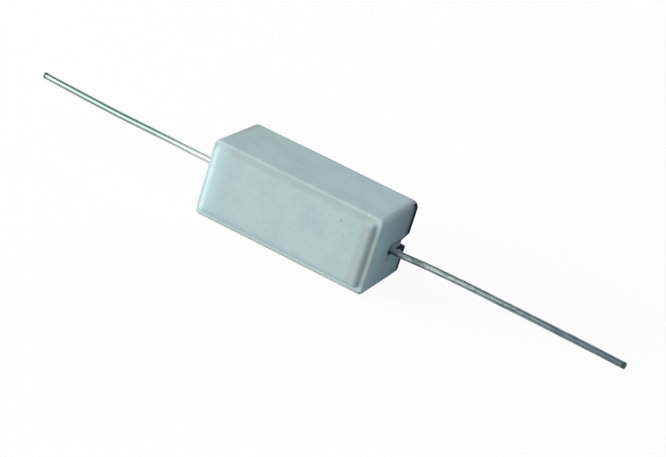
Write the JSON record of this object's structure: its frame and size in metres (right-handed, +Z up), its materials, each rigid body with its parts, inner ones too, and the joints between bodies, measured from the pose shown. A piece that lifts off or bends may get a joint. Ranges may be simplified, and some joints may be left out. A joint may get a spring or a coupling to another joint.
{
  "type": "axial wirewound resistor",
  "caption": "White rectangular ceramic power resistor with a raised front panel, cement filling at the open back and a bare wire lead out of each end.",
  "frame": {"origin": "middle of the long side wall that the case lies on, halfway along the case and halfway through its depth", "axes": "+X along the leads to the right lead, -Y out of the raised panel at the front, +Z up from the side wall that it lies on"},
  "size_m": [0.0768, 0.0095, 0.0094],
  "materials": {
    "case_ceramic": "matte",
    "cement": "matte",
    "core_ceramic": "matte",
    "resistance_alloy": "satin",
    "cap_steel": "satin",
    "tinned_wire": "satin"
  },
  "bodies": {
    "root": {"ceramic_case": "case_ceramic", "cement_fill": "cement", "core_rod": "core_ceramic", "resistance_wire": "resistance_alloy", "left_end_cap": "cap_steel", "right_end_cap": "cap_steel", "left_lead": "tinned_wire", "right_lead": "tinned_wire"}
  },
  "joints": []
}
